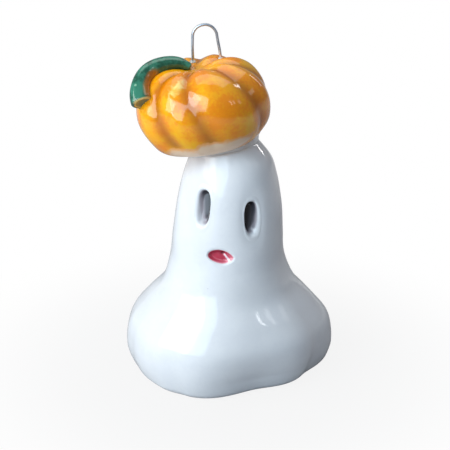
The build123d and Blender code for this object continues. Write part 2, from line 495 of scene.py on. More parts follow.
class GlazeEffects:
    """Shader node groups that several finishes share. Each is made once."""

    grain_share: float = 0.45
    cloud_span: Span = (0.60, 0.86)
    least_dot: float = 0.4
    dot_span: Span = (0.6, 1.0)
    ripple_span: Span = (0.3, 0.75)

    @staticmethod
    @cache
    def mottle() -> NodeTree:
        """Cloudy change between two colours, as in a brushed-on glaze.

        Returns:
            The group.
        """
        inputs = {"Vector": "Vector", "Scale": "Float", "Grain": "Float"}
        inputs |= {"Thick": "Color", "Thin": "Color"}
        outputs = {"Color": "Color"}
        graph, given, sink = Graph.begin(TreeKind.SHADER, "Glaze Mottle", inputs, outputs)
        cloud = graph.noise(given["Vector"], given["Scale"], 3.0)
        grain = graph.noise(given["Vector"], given["Grain"], 2.0)
        mixed = graph.math("MULTIPLY_ADD", grain, GlazeEffects.grain_share, cloud)
        mask = graph.ease(mixed, *GlazeEffects.cloud_span)
        graph.feed(sink["Color"], graph.blend(mask, given["Thick"], given["Thin"]))
        return graph.tree

    @staticmethod
    @cache
    def specks() -> NodeTree:
        """Scattered dots of a size, on a share of the cells of a pattern.

        Returns:
            The group.
        """
        inputs = {"Vector": "Vector", "Scale": "Float", "Size": "Float", "Share": "Float"}
        outputs = {"Mask": "Float"}
        graph, given, sink = Graph.begin(TreeKind.SHADER, "Fired Specks", inputs, outputs)
        feeds = {"Vector": given["Vector"], "Scale": given["Scale"]}
        cells = graph.node("ShaderNodeTexVoronoi", feeds).outputs
        parts = graph.node("ShaderNodeSeparateColor", {0: cells["Color"]}).outputs
        chosen = graph.math("LESS_THAN", parts[0], given["Share"])
        wide = graph.math("ADD", parts[1], GlazeEffects.least_dot)
        reach = graph.math("MULTIPLY", given["Size"], wide)
        away = graph.math("DIVIDE", cells["Distance"], reach)
        dot = graph.ease(away, *GlazeEffects.dot_span, start=1.0, end=0.0)
        graph.feed(sink["Mask"], graph.math("MULTIPLY", dot, chosen))
        return graph.tree

    @staticmethod
    @cache
    def skin() -> NodeTree:
        """Slow ripple of a poured glaze, as a height and a change of gloss.

        Returns:
            The group.
        """
        inputs = {"Vector": "Vector", "Scale": "Float", "Gloss": "Float", "Dull": "Float"}
        outputs = {"Height": "Float", "Roughness": "Float"}
        graph, given, sink = Graph.begin(TreeKind.SHADER, "Glaze Skin", inputs, outputs)
        ripple = graph.noise(given["Vector"], given["Scale"], 1.0)
        low, high = GlazeEffects.ripple_span
        feeds = {"Value": ripple, "From Min": low, "From Max": high}
        feeds |= {"To Min": given["Gloss"], "To Max": given["Dull"]}
        change = graph.node("ShaderNodeMapRange", feeds)
        graph.feed(sink["Height"], ripple)
        graph.feed(sink["Roughness"], change.outputs[0])
        return graph.tree


@dataclass(frozen=True)
class Wash:
    """A shade that is laid over a colour where a mask rises from low to high."""

    shade: Colour
    low: float
    high: float
    strength: float = 1.0

    def over(self, graph: Graph, colour: Any, mask: NodeSocket) -> NodeSocket:
        """Lay the shade over a colour and return the result."""
        share = graph.ease(mask, self.low, self.high, end=self.strength)
        return graph.blend(share, colour, full(self.shade))


@dataclass(frozen=True)
class Specks:
    """Dots that the firing brings out: colour, spacing, size, how many and how strong."""

    colour: Colour
    scale: float
    size: float
    share: float
    strength: float = 1.0

    def over(self, graph: Graph, colour: NodeSocket, place: NodeSocket) -> NodeSocket:
        """Lay the dots over a colour.

        Args:
            graph: The material's node tree.
            colour: The colour below.
            place: Object coordinates.

        Returns:
            The colour with the dots on it.
        """
        feeds = {"Vector": place, "Scale": self.scale, "Size": self.size, "Share": self.share}
        dots = graph.group(GlazeEffects.specks(), feeds)["Mask"]
        return graph.blend(graph.math("MULTIPLY", dots, self.strength), colour, full(self.colour))


@dataclass(frozen=True)
class Finish:
    """A finish with two cloudy shades, a gloss and a slow ripple. The glazes build on it."""

    name: str
    thick: Colour
    thin: Colour
    cloud_scale: float = 160.0
    grain_scale: float = 900.0
    gloss: float = 0.05
    dull: float = 0.12
    ripple_scale: float = 140.0
    ripple: float = 0.25
    ripple_height: float = 0.4
    ior: float = 1.52
    metal: float = 0.0
    bare_roughness: float = 0.6

    def colour(self, graph: Graph, place: NodeSocket) -> NodeSocket:
        """Mix the colour.

        Args:
            graph: The material's node tree.
            place: Object coordinates.

        Returns:
            The colour all over the surface.
        """
        feeds = {"Vector": place, "Scale": self.cloud_scale, "Grain": self.grain_scale}
        feeds |= {"Thick": full(self.thick), "Thin": full(self.thin)}
        return graph.group(GlazeEffects.mottle(), feeds)["Color"]

    def bare(self, graph: Graph) -> NodeSocket | None:
        """Where the clay has no glaze: nowhere, unless a glaze says so."""
        return None

    def make(self) -> Material:
        """Build the material.

        Returns:
            The material, with its nodes.
        """
        material = bpy.data.materials.new(self.name)
        material.use_nodes = True
        material.diffuse_color = full(self.thick)
        graph = Graph(material.node_tree)
        place = graph.node("ShaderNodeTexCoord").outputs["Object"]
        feeds = {"Vector": place, "Scale": self.ripple_scale}
        skin = graph.group(GlazeEffects.skin(), feeds | {"Gloss": self.gloss, "Dull": self.dull})
        rough, bare = skin["Roughness"], self.bare(graph)
        if bare is not None:
            rough = graph.math("MULTIPLY_ADD", bare, self.bare_roughness, rough)
        shader = material.node_tree.nodes["Principled BSDF"].inputs
        shader["IOR"].default_value = self.ior
        shader["Metallic"].default_value = self.metal
        graph.feed(shader["Base Color"], self.colour(graph, place))
        graph.feed(shader["Roughness"], rough)
        if self.ripple:
            feeds = {"Strength": self.ripple, "Distance": self.ripple_height * MM}
            bump = graph.node("ShaderNodeBump", feeds | {"Height": skin["Height"]})
            graph.feed(shader["Normal"], bump.outputs["Normal"])
        return material


@dataclass(frozen=True)
class WhiteGlaze(Finish):
    """Glossy white glaze with a few dark specks, and bare clay where it was wiped off."""

    clay: Colour = (0.72, 0.66, 0.58)
    specks: Specks = Specks((0.16, 0.13, 0.12), scale=130.0, size=0.026, share=0.20)

    def bare(self, graph: Graph) -> NodeSocket:
        """Where the glaze was wiped off."""
        return graph.mark(Mark.BARE)

    def colour(self, graph: Graph, place: NodeSocket) -> NodeSocket:
        """Mix the white with its specks, and the clay."""
        white = self.specks.over(graph, super().colour(graph, place), place)
        return graph.blend(self.bare(graph), white, full(self.clay))


@dataclass(frozen=True)
class PooledGlaze(Finish):
    """Coloured underglaze in a socket. It thins out to the white round it."""

    edge: Wash = Wash((0.38, 0.35, 0.39), 0.0, 0.30)
    middle: Wash = Wash((0.07, 0.067, 0.08), 0.25, 0.62)
    deep: Wash = Wash((0.012, 0.011, 0.013), 0.60, 1.0)

    def colour(self, graph: Graph, place: NodeSocket) -> NodeSocket:
        """Mix the colour from the rim to the depth of the socket.

        Args:
            graph: The material's node tree.
            place: Object coordinates.

        Returns:
            The colour all over the surface.
        """
        # Pooled underglaze darkness, with the painted highlights of the sockets taken out.
        stain = graph.mark(Mark.STAIN_AND_HIGHLIGHT)
        colour = super().colour(graph, place)
        for wash in (self.edge, self.middle, self.deep):
            colour = wash.over(graph, colour, stain)
        return colour


@dataclass(frozen=True)
class OrangeGlaze(Finish):
    """Orange glaze, browner in the grooves, with the white one creeping up from below."""

    sunny: Wash = Wash((1.0, 0.52, 0.004), 0.50, 0.68)
    patch_scale: float = 95.0
    patch_roughness: float = 0.62
    pale: Wash = Wash((1.0, 0.80, 0.22), 1.35, 2.0)
    streak_scale: float = 420.0
    streak_bend: float = 0.8
    streak_share: float = 1.6
    groove: Wash = Wash((0.40, 0.10, 0.001), 0.25, 1.0, strength=0.8)
    peach: Wash = Wash((0.90, 0.42, 0.12), 0.86, 1.06)
    cream: Wash = Wash((0.92, 0.66, 0.46), 1.05, 1.45)
    ragged_scale: float = 230.0
    ragged_share: float = 1.1
    specks: Specks = Specks((0.25, 0.09, 0.01), scale=260.0, size=0.10, share=0.10, strength=0.5)

    def colour(self, graph: Graph, place: NodeSocket) -> NodeSocket:
        """Mix the colour: sunny patches, pale streaks, grooves, specks and creeping white.

        Args:
            graph: The material's node tree.
            place: Object coordinates.

        Returns:
            The colour all over the surface.
        """
        patch = graph.noise(place, self.patch_scale, 4.0, {"Roughness": self.patch_roughness})
        colour = self.sunny.over(graph, super().colour(graph, place), patch)
        streaks = graph.noise(place, self.streak_scale, 3.0, {"Distortion": self.streak_bend})
        # Paler yellow along noise streaks and at the listed pale spots.
        thin = graph.math("MULTIPLY_ADD", streaks, self.streak_share, graph.mark(Mark.THIN))
        colour = self.pale.over(graph, colour, thin)
        colour = self.groove.over(graph, colour, graph.mark(Mark.GROOVE))
        colour = self.specks.over(graph, colour, place)
        ragged = graph.noise(place, self.ragged_scale, 4.0)
        creep = graph.math("MULTIPLY_ADD", ragged, self.ragged_share, graph.mark(Mark.CREEP))
        return self.cream.over(graph, self.peach.over(graph, colour, creep), creep)


@dataclass(frozen=True)
class GreenGlaze(Finish):
    """Blue-green glaze with pale specks. It is brown along the stem's inner flank: partly thin
    glaze, partly painted shade and orange reflection from the pumpkin.
    """

    # Brown of the inner flank: partly thin glaze, partly painted shade and orange reflection from
    # the pumpkin.
    flank: Wash = Wash((0.42, 0.15, 0.006), 0.35, 1.1)
    ragged_scale: float = 320.0
    ragged_share: float = 0.5
    rim: Wash = Wash((0.74, 0.56, 0.20), 0.10, 0.45)
    face: Wash = Wash((0.14, 0.21, 0.15), 0.55, 0.95)
    specks: Specks = Specks((0.34, 0.60, 0.42), scale=300.0, size=0.20, share=0.34, strength=0.7)

    def colour(self, graph: Graph, place: NodeSocket) -> NodeSocket:
        """Mix the colour: specks, the brown inner flank with its painted shade, and the cut end
        with its rim.

        Args:
            graph: The material's node tree.
            place: Object coordinates.

        Returns:
            The colour all over the surface.
        """
        colour = self.specks.over(graph, super().colour(graph, place), place)
        ragged = graph.noise(place, self.ragged_scale, 3.0)
        thin = graph.math("MULTIPLY_ADD", ragged, self.ragged_share, graph.mark(Mark.FLANK))
        # Brown inner flank: thin glaze, with painted shade and orange reflection from the pumpkin
        # beside it.
        colour = self.flank.over(graph, colour, thin)
        cut = graph.mark(Mark.CUT)
        return self.face.over(graph, self.rim.over(graph, colour, cut), cut)


# The ghost


@dataclass(frozen=True)
class GhostForm:
    """Rule of the draped form.

    The profile has rows of height, mean radius and sideways shift. A fold has its angle and how far
    the hem stands out there. An uneven wave has its count, its climb for a millimetre of height,
    its phase and its weight.
    """

    profile: tuple[tuple[float, float, float], ...] = (
        (0.0, 24.8, 0.0),
        (5.0, 26.8, 0.0),
        (10.5, 27.9, 0.0),
        (16.0, 27.4, 0.0),
        (21.5, 24.0, 0.0),
        (27.5, 19.5, 0.0),
        (35.0, 17.0, -0.2),
        (44.5, 15.9, -0.2),
        (54.0, 14.8, 0.2),
        (61.5, 13.3, 0.5),
        (66.5, 11.8, 0.5),
        (70.5, 10.0, -0.6),
        (74.5, 7.4, -1.6),
    )
    folds: tuple[tuple[float, float], ...] = (
        (9.0, 4.6),
        (17.0, 4.0),
        (34.0, 5.4),
        (66.0, -1.0),
        (94.0, -1.6),
        (122.0, -0.8),
        (150.0, 5.2),
        (180.0, 3.0),
        (198.0, 1.8),
        (222.0, 1.2),
        (240.0, 0.2),
        (292.0, -5.0),
        (333.0, -0.9),
    )
    fold_low: float = 6.0
    fold_top: float = 41.0
    fold_fade: float = 1.6
    hand: float = 0.14
    uneven: tuple[tuple[float, float, float, float], ...] = (
        (2, 0.13, 1.0, 1.0),
        (3, -0.21, 0.0, 0.7),
        (5, 0.27, 2.0, 0.5),
    )
    outline_step: float = 10.0
    tangent_step: float = 0.05
    tries: int = 8

    def swell(self, angle: Array) -> Array:
        """Ease from fold to fold round the hem.

        Args:
            angle: Angles round the ghost.

        Returns:
            How far the hem stands out at each angle.
        """
        first, rise = self.folds[0]
        rows = np.array([*self.folds, (first + 360.0, rise)])
        turned = (angle - first) % 360.0 + first
        low = np.clip(np.searchsorted(rows[:, 0], turned, "right") - 1, 0, len(rows) - 2)
        gap = rows[low + 1, 0] - rows[low, 0]
        share = 0.5 - 0.5 * np.cos(np.pi * (turned - rows[low, 0]) / gap)
        return rows[low, 1] + (rows[low + 1, 1] - rows[low, 1]) * share

    def centre(self) -> Array:
        """Find the middle of the box round the widest outline.

        Returns:
            Its place across and in depth, from the ghost's axis.
        """
        angle = np.arange(0.0, 360.0, self.outline_step)
        reach = max(row[1] for row in self.profile) + self.swell(angle)
        flat = ring(np.radians(angle), reach)[:, :2]
        return (flat.min(axis=0) + flat.max(axis=0)) / 2

    def points(self, angle: Array, height: Array, inset: Array | float = 0.0) -> Array:
        """Places on the draped form.

        Args:
            angle: Angle of each place.
            height: Height of each place.
            inset: How far each place lies inside the form.

        Returns:
            The places, in millimetres.
        """
        rows = np.array(self.profile)
        radius = smooth_curve(height, rows[:, 0], rows[:, 1])
        shift = smooth_curve(height, rows[:, 0], rows[:, 2])
        fade = np.clip((self.fold_top - height) / (self.fold_top - self.fold_low), 0.0, 1.0)
        reach = radius - inset + self.swell(angle) * fade**self.fold_fade
        turn = np.radians(angle)
        bumps = ((count, climb * height + phase, size) for count, climb, phase, size in self.uneven)
        flat = ring(turn, reach + self.hand * waves(turn, bumps), height)
        across, deep = self.centre()
        return flat + np.stack(np.broadcast_arrays(shift - across, -deep, 0.0), axis=-1)

    def tangent_frame(self, angle: float, height: float) -> LocalFrame:
        """Set a frame on the outside of the form.

        Args:
            angle: Angle of its origin.
            height: Height of its origin.

        Returns:
            The frame. Right is the viewer's right, and out points away from the form.
        """
        step = self.tangent_step
        here = self.points(np.array(angle), np.array(height))
        right = self.points(np.array(angle + step), np.array(height)) - here
        up = self.points(np.array(angle), np.array(height + step)) - here
        out = np.cross(right, up)
        out /= np.linalg.norm(out)
        right = np.cross(np.array([0.0, 0.0, 1.0]), out)
        right /= np.linalg.norm(right)
        return LocalFrame(here, right, np.cross(out, right), out)

    def place(self, node: Node, drop: float) -> tuple[float, float]:
        """Find a CAD node on the form.

        Args:
            node: The node.
            drop: How far below the middle of its box to look.

        Returns:
            The angle and the height, from the ghost's axis.
        """
        low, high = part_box(node.value)
        x, y, z = np.array((low + high) / 2) / MM
        across, deep = self.centre()
        return math.degrees(math.atan2(y + deep, x + across)) % 360.0, z - drop

    def under(self, spot: LocalFrame, at: Array) -> Array:
        """Places on the form that lie behind points of a tangent frame.

        Args:
            spot: The tangent frame.
            at: Points of that frame, right and up.

        Returns:
            The places, in millimetres.
        """
        flat_axes = spot.axes()[:2]
        across, deep = self.centre()
        found = aim = spot.origin + at @ flat_axes
        for _ in range(self.tries):
            angle = np.degrees(np.arctan2(aim[..., 1] + deep, aim[..., 0] + across))
            found = self.points(angle % 360.0, aim[..., 2])
            aim = aim + (at - spot.to_local(found)[..., :2]) @ flat_axes
        return found


@dataclass(frozen=True)
class Socket(ABC):
    """A rounded hollow pressed into the face, measured in a frame on the form."""

    spot: LocalFrame
    half_width: float
    half_height: float
    depth: float
    power: float
    slant: float = 0.0
    reach: float = 1.45
    overlap: float = 0.12

    def away(self, at: Array) -> tuple[Array, Array]:
        """Measure points against the rim.

        Args:
            at: Points of the socket's frame, right and up.

        Returns:
            Share of the way out to the rim, and the distance inside the rim in millimetres.
        """
        across = np.abs(at[..., 0] + self.slant * at[..., 1]) / self.half_width
        along = np.abs(at[..., 1]) / self.half_height
        share = (across**self.power + along**self.power) ** (1.0 / self.power) + 1e-6
        less = self.power - 1.0
        steep = np.hypot(across**less / self.half_width, along**less / self.half_height)
        return share, (1.0 - share) / np.maximum(steep / share**less, 1e-3)

    def outline(self, angle: Array) -> Array:
        """Trace the rim.

        Args:
            angle: Angles round the rim, in radians.

        Returns:
            Points of the rim, right and up.
        """
        less = 2.0 / self.power
        across = self.half_width * np.sign(np.cos(angle)) * np.abs(np.cos(angle)) ** less
        up = self.half_height * np.sign(np.sin(angle)) * np.abs(np.sin(angle)) ** less
        return np.stack([across - self.slant * up, up], axis=-1)

    @abstractmethod
    def press(self, at: Array) -> Array:
        """How deep the socket is pressed in at each point."""

    @abstractmethod
    def stain(self, at: Array) -> Array:
        """How strong the pooled glaze is at each point, from 0 at the rim to 1, with painted
        highlights taken out.
        """


@dataclass(frozen=True)
class EyeSocket(Socket):
    """An upright slot with round ends. It is deepest towards the nose and the brow.

    A lean has a plain value, what is added at the nose and what is added at the brow.
    """

    nose_side: float = 1.0
    dish: float = 0.28
    dish_reach: float = 1.55
    wall_lean: Lean = (1.8, -0.75, -0.60)
    wall_span: Span = (-0.15, 1.0)
    wall_lip: float = 0.2
    depth_lean: Lean = (0.95, 0.45, 0.24)
    coat_lean: Lean = (0.9, -0.35, -0.42)
    dark: float = 0.56
    dark_lean: Span = (0.62, 0.30)
    palest: float = 0.18
    # Painted highlight: the dark glaze is paled towards the bottom of the slot, where its floor
    # faces up to the sky.
    bottom_highlight_lean: Lean = (0.0, -0.25, -1.0)
    bottom_highlight_span: Span = (0.30, 1.0)
    bottom_highlight: float = 0.75

    def leaning(self, at: Array, lean: Lean) -> Array:
        """Let a value lean towards the nose and the brow.

        Args:
            at: Points of the socket's frame, right and up.
            lean: The value's lean.

        Returns:
            The value at each point.
        """
        nose = np.clip(self.nose_side * at[..., 0] / self.half_width, -1.0, 1.0)
        brow = np.clip(at[..., 1] / self.half_height, -1.0, 1.0)
        return lean[0] + lean[1] * nose + lean[2] * brow

    def press(self, at: Array) -> Array:
        """Press in the slot and the shallow dish round it.

        Args:
            at: Points of the socket's frame, right and up.

        Returns:
            The depth at each point.
        """
        share, inside = self.away(at)
        wall = self.leaning(at, self.wall_lean)
        floor = smooth_step(*self.wall_span, (inside + self.wall_lip) / wall)
        wide = np.exp(-((share / self.dish_reach) ** 4))
        return self.depth * self.leaning(at, self.depth_lean) * floor + self.dish * wide

    def stain(self, at: Array) -> Array:
        """Pool the glaze in the slot, and pale it towards the bottom as a painted highlight.

        Args:
            at: Points of the socket's frame, right and up.

        Returns:
            How dark the glaze is at each point, from 0 to 1.
        """
        _, inside = self.away(at)
        run = self.leaning(at, self.coat_lean)
        coat = smooth_step(0.0, 1.0, (inside + self.overlap) / run)
        shade = self.leaning(at, (self.dark, *self.dark_lean))
        shade = np.clip(shade, self.palest, 1.0)
        # Painted highlight: pale the dark glaze towards the bottom of the slot.
        low = smooth_step(*self.bottom_highlight_span, self.leaning(at, self.bottom_highlight_lean))
        return np.clip(coat * shade * (1.0 - self.bottom_highlight * low), 0.0, 1.0)


@dataclass(frozen=True)
class MouthSocket(Socket):
    """A leaf-shaped mouth with a small pit, and a pale streak that is a painted highlight.

    The red's lean has a plain value, what is added where it is pale and what is added in the pit.
    """

    wall_span: Span = (-0.6, 1.2)
    top_deeper: float = 0.25
    end_shallower: float = 0.45
    end_span: Span = (0.5, 3.5)
    pit: Span = (0.45, 1.05)
    pit_size: Span = (0.75, 0.45)
    pit_depth: float = 0.25
    pale_right: float = 0.5
    right_span: Span = (0.2, 3.2)
    pale_low: float = 0.4
    low_span: Span = (0.4, 1.9)
    coat_run: Span = (0.45, 0.9)
    red_lean: Lean = (0.66, -0.52, 0.30)
    # Painted highlight: a pale streak from its start to its end, where the red is taken out.
    streak: tuple[Span, Span] = ((0.9, 0.5), (3.0, -1.8))
    streak_width: float = 0.34
    highlight_strength: float = 0.85

    def hole(self, at: Array) -> Array:
        """Share of the pit at each point."""
        return np.exp(-np.sum(((at - self.pit) / self.pit_size) ** 2, axis=-1))

    def press(self, at: Array) -> Array:
        """Press in the mouth, deeper at the top and shallow at the right end.

        Args:
            at: Points of the socket's frame, right and up.

        Returns:
            The depth at each point.
        """
        _, inside = self.away(at)
        tilt = 1.0 + self.top_deeper * np.clip(at[..., 1] / self.half_height, -1.0, 1.0)
        tilt = tilt - self.end_shallower * smooth_step(*self.end_span, at[..., 0])
        floor = smooth_step(*self.wall_span, inside)
        return floor * self.depth * tilt + self.pit_depth * self.hole(at)

    def stain(self, at: Array) -> Array:
        """Pool the red, paler to the right and below, with a painted highlight streak.

        Args:
            at: Points of the socket's frame, right and up.

        Returns:
            How deep the red is at each point, from 0 to 1.
        """
        _, inside = self.away(at)
        pale = self.pale_right * smooth_step(*self.right_span, at[..., 0])
        pale = pale + self.pale_low * smooth_step(*self.low_span, -at[..., 1])
        run = self.coat_run[0] + self.coat_run[1] * pale
        coat = smooth_step(0.0, 1.0, (inside + self.overlap) / run)
        # Painted highlight: take the red out along the streak.
        start, end = np.array(self.streak)
        way, reach = end - start, at - start
        share = np.clip(reach @ way / (way @ way), 0.0, 1.0)
        gap = np.linalg.norm(reach - share[..., None] * way, axis=-1)
        bare = self.highlight_strength * np.exp(-((gap / self.streak_width) ** 4))
        plain, by_pale, by_pit = self.red_lean
        red = plain + by_pale * pale + by_pit * self.hole(at)
        return np.clip(coat * red * (1.0 - bare), 0.0, 1.0)


@dataclass(frozen=True)
class Ghost:
    """The hollow white body with its pressed-in face."""

    form: GhostForm
    finish: WhiteGlaze
    seat: LocalFrame
    wall: float = 4.5
    hem_lip: float = 2.6
    hem_foot: float = 2.8
    foot_slope: float = 0.3
    bare_span: Span = (0.15, 0.5)
    crown_wall: float = 8.0
    roof_inset: float = 1.5
    vent_radius: float = 3.0
    slant_from: float = 58.0
    face_low: float = 36.0
    face_angles: Span = (222.0, 312.0)
    face_drops: tuple[float, float, float] = (0.35, 0.65, 0.0)
    face_reach: float = 11.0
    face_depth: float = 5.0
    fine_angle: float = 0.85
    wide_angle: float = 1.6
    skirt_from: float = 0.6
    skirt_step: float = 0.65
    face_step: float = 0.30
    hollow_step: float = 1.5
    lip_rings: int = 12
    crown_rings: int = 34
    foot_rings: int = 4
    seat_tries: int = 6

    def columns(self) -> Array:
        """Space the points of a ring, closer together over the face.

        Returns:
            Their angles.
        """
        first, last = self.face_angles
        count = round((360.0 - last + first) / self.wide_angle)
        fine = np.arange(first, last, self.fine_angle)
        return np.concatenate([fine, np.linspace(last, first + 360.0, count, False)]) % 360.0

    def sockets(self) -> dict[Node, Socket]:
        """Place the three sockets where their coats of glaze are.

        Returns:
            The socket of each coat.
        """
        nodes = (Node.EYE_LEFT, Node.EYE_RIGHT, Node.MOUTH)
        left, right, mouth = (
            self.form.tangent_frame(*self.form.place(node, drop))
            for node, drop in zip(nodes, self.face_drops)
        )
        left_eye = EyeSocket(left, half_width=2.35, half_height=5.25, depth=2.0, power=2.6)
        right_eye = EyeSocket(
            right,
            half_width=2.2,
            half_height=4.95,
            depth=2.2,
            power=2.5,
            nose_side=-1.0,
            dish=0.40,
            dark=0.80,
        )
        grin = MouthSocket(
            mouth, half_width=3.7, half_height=2.1, depth=1.3, power=1.85, slant=0.32, reach=1.3
        )
        return dict(zip(nodes, (left_eye, right_eye, grin)))

    def seat_height(self, angle: Array) -> Array:
        """Find where the wall meets the slanted cut.

        Args:
            angle: Angles round the ghost.

        Returns:
            The height at each angle.
        """
        height = np.full_like(angle, self.seat.origin[2])
        slope = -self.seat.out[0] / self.seat.out[2]
        for _ in range(self.seat_tries):
            across = self.form.points(angle, height)[..., 0]
            height = self.seat.origin[2] + slope * (across - self.seat.origin[0])
        return height

    def outer_rings(self, angle: Array) -> Array:
        """Set rings from the foot of the hem up to the slanted cut.

        Args:
            angle: Angles of the points in a ring.

        Returns:
            The rings of points.
        """
        level = np.ones_like(angle)
        rings = []
        for step in np.linspace(0.0, np.pi / 2, self.lip_rings):
            height = self.hem_lip * (1.0 - math.cos(step))
            inset = self.hem_lip * (1.0 - math.sin(step))
            rings.append(self.form.points(angle, height * level, inset))
        skirt = np.arange(self.hem_lip + self.skirt_from, self.face_low, self.skirt_step)
        face = np.arange(self.face_low, self.slant_from, self.face_step)
        rings += [self.form.points(angle, height * level) for height in (*skirt, *face)]
        top = self.seat_height(angle)
        for share in np.linspace(0.0, 1.0, self.crown_rings):
            rings.append(self.form.points(angle, self.slant_from + (top - self.slant_from) * share))
        return np.array(rings)

    def press_face(self, rings: Array) -> Array:
        """Press the sockets into the outer wall.

        Args:
            rings: Rings of the outer wall.

        Returns:
            The rings with the face in them.
        """
        moved = rings.copy()
        for socket in self.sockets().values():
            local = socket.spot.to_local(rings)
            at, depth = local[..., :2], np.abs(local[..., 2])
            near = (np.linalg.norm(at, axis=-1) < self.face_reach) & (depth < self.face_depth)
            moved -= np.where(near, socket.press(at), 0.0)[..., None] * socket.spot.out
        return moved

    def inner_rings(self, angle: Array) -> Array:
        """Set rings from the vent's rim down through the vent and the hollow to the foot.

        Args:
            angle: Angles of the points in a ring.

        Returns:
            The rings of points.
        """
        level = np.ones_like(angle)
        vent = ring(np.radians(angle), self.vent_radius)
        roof = self.seat.origin[2] - self.crown_wall
        low = self.seat.origin - np.array([0.0, 0.0, self.crown_wall]) + vent
        edge = self.form.points(angle, roof * level, self.wall + self.roof_inset)
        rings = [self.seat.to_world(vent), low, (low + edge) / 2, edge]
        hollow = np.arange(roof - self.hollow_step, self.hem_lip + 1.0, -self.hollow_step)
        rings += [self.form.points(angle, height * level, self.wall) for height in hollow]
        rim = self.hem_lip + self.hem_foot
        for share in np.linspace(1.0, 0.0, self.foot_rings + 1)[1:]:
            height, inset = share * self.hem_lip * level, rim - self.foot_slope * share
            rings.append(self.form.points(angle, height, inset))
        return np.array(rings)

    def build(self) -> Object:
        """Make the body.

        Returns:
            The finished piece.
        """
        angle = self.columns()
        outer = self.press_face(self.outer_rings(angle))
        rings = np.concatenate([outer, self.inner_rings(angle)])
        faces = ring_quads(len(rings), len(angle), closed=True)
        mesh = Piece.mesh("ghost_body_skin", rings, faces)
        bare = 1.0 - smooth_step(*self.bare_span, rings[..., 2])
        bare[len(outer):] = 1.0
        Piece.mark(mesh, Mark.BARE, bare)
        return Piece.finish("ghost_body_skin", mesh, self.finish.make(), Node.GHOST, Slot.WHITE)


@dataclass(frozen=True)
class FaceGlaze:
    """Coats of coloured glaze that lie in the sockets and thin out over their rims."""

    form: GhostForm
    eye: PooledGlaze
    mouth: PooledGlaze
    film: float = 0.07
    tuck: float = 1.6
    tuck_span: Span = (0.8, 1.0)
    sunk: float = 0.25
    rings: int = 44
    columns: int = 120

    def coat(self, name: str, node: Node, socket: Socket, material: Material, slot: Slot) -> None:
        """Make one coat as a thin closed lens on the floor of its socket.

        Args:
            name: Name of the piece.
            node: The CAD node that it stands for.
            socket: The socket that it lies in.
            material: Its finish.
            slot: The record's material slot.
        """
        rim = socket.outline(full_turn(self.columns))
        middle = rim.mean(axis=0)
        share = np.linspace(0.0, 1.0, self.rings + 1)[:, None, None]
        at = middle + (rim - middle) * share * socket.reach
        skin = self.form.under(socket.spot, at) - socket.press(at)[..., None] * socket.spot.out
        film = self.film * (1.0 - self.tuck * smooth_step(*self.tuck_span, share))
        front = skin + film * socket.spot.out
        back = skin - self.sunk * socket.spot.out
        sides = [np.concatenate([side[:1, 0], side[1:].reshape(-1, 3)]) for side in (front, back)]
        count = len(sides[0])
        quads = ring_quads(self.rings, self.columns, closed=False)
        front_faces = fan(0, 1, self.columns) + flipped(quads, 1)
        faces = front_faces + flipped(front_faces, count)
        edge = 1 + (self.rings - 1) * self.columns
        for column in range(self.columns):
            here, after = edge + column, edge + (column + 1) % self.columns
            faces.append((here, here + count, after + count, after))
        mesh = Piece.mesh(name, np.concatenate(sides), faces)
        # Underglaze darkness with the painted highlights taken out.
        stain = socket.stain(at)
        one_side = np.concatenate([stain[:1, 0], stain[1:].ravel()])
        Piece.mark(mesh, Mark.STAIN_AND_HIGHLIGHT, np.concatenate([one_side, one_side]))
        Piece.finish(name, mesh, material, node, slot)

    def build(self, sockets: dict[Node, Socket]) -> None:
        """Make the coats of both eyes and of the mouth.

        Args:
            sockets: The socket of each coat.
        """
        black, red = self.eye.make(), self.mouth.make()
        for node, material, slot in (
            (Node.EYE_LEFT, black, Slot.EYE),
            (Node.EYE_RIGHT, black, Slot.EYE),
            (Node.MOUTH, red, Slot.MOUTH),
        ):
            self.coat(node.value + "_coat", node, sockets[node], material, slot)


@dataclass(frozen=True)
class SlipCollar:
    """Ring of slip smoothed round the joint of head and pumpkin."""

    seat: LocalFrame
    seat_radius: float
    rise: float
    finish: Finish
    vent_radius: float = 3.0
    lump: float = 0.16
    lumps: tuple[Wave, ...] = ((2, 0.7, 1.0), (5, 2.1, 0.7), (9, 0.0, 0.4))
    lump_from: float = -1.0
    sways: tuple[Wave, ...] = ((3, 0.4, 0.22),)
    sway_from: float = -0.5
    sway_top: float = 0.5
    columns: int = 220

    def section(self) -> tuple[tuple[float, float], ...]:
        """Draw half a section, from the vent round the outside and back.

        Returns:
            Radius and height of each point.
        """
        edge, rise = self.seat_radius, self.rise
        return (
            (self.vent_radius, -0.1),
            (edge - 0.9, -0.35),
            (edge - 0.05, -0.50),
            (edge + 0.28, -0.30),
            (edge + 0.44, 0.10),
            (edge + 0.50, 0.25 * rise),
            (edge + 0.46, 0.50 * rise),
            (edge + 0.50, 0.80 * rise),
            (edge + 0.90, rise + 0.05),
            (edge + 1.50, rise + 0.30),
            (edge + 0.60, rise + 0.60),
            (self.vent_radius, rise + 0.40),
        )

    def build(self) -> Object:
        """Make the ring, a little uneven, as fingers leave it.

        Returns:
            The finished piece.
        """
        edge, turn, section = self.seat_radius, full_turn(self.columns), self.section()
        rings = []
        for radius, height in section:
            grow = self.lump * waves(turn, self.lumps) * (radius > edge + self.lump_from)
            hangs = radius > edge + self.sway_from and height < self.sway_top
            sway = waves(turn, self.sways) * hangs
            rings.append(self.seat.to_world(ring(turn, radius + grow, height + sway)))
        faces = ring_quads(len(section), self.columns, closed=True)
        mesh = Piece.mesh("slip_collar_ring", np.array(rings), faces)
        material = self.finish.make()
        piece = Piece.finish("slip_collar_ring", mesh, material, Node.COLLAR, Slot.SLIP)
        round_off = piece.modifiers.new("smooth", "SUBSURF")
        round_off.levels = round_off.render_levels = 1
        return piece


# The pumpkin


